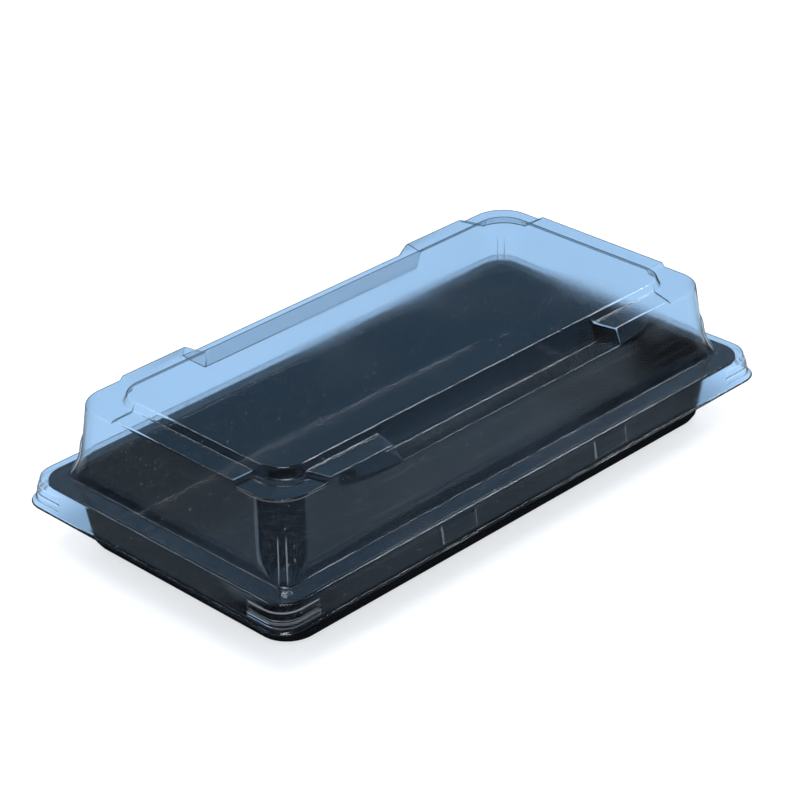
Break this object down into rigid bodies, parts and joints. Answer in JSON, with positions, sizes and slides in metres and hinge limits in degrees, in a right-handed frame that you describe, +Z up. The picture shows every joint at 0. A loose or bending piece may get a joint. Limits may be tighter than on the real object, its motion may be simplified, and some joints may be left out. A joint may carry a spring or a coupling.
{
  "type": "sushi tray with lid",
  "caption": "Closed rectangular takeaway tray: shallow black base with a flat flange, under a clear domed press-fit lid with a raised top panel and grip recesses.",
  "frame": {"origin": "centre of the flat base, on the surface that the tray stands on", "axes": "+X along the tray's length, +Y across its width, +Z up"},
  "size_m": [0.216, 0.118, 0.052],
  "materials": {
    "black_plastic": "gloss",
    "clear_plastic": "clear gloss"
  },
  "bodies": {
    "root": {"tray": "black_plastic", "lid": "clear_plastic"}
  },
  "joints": []
}
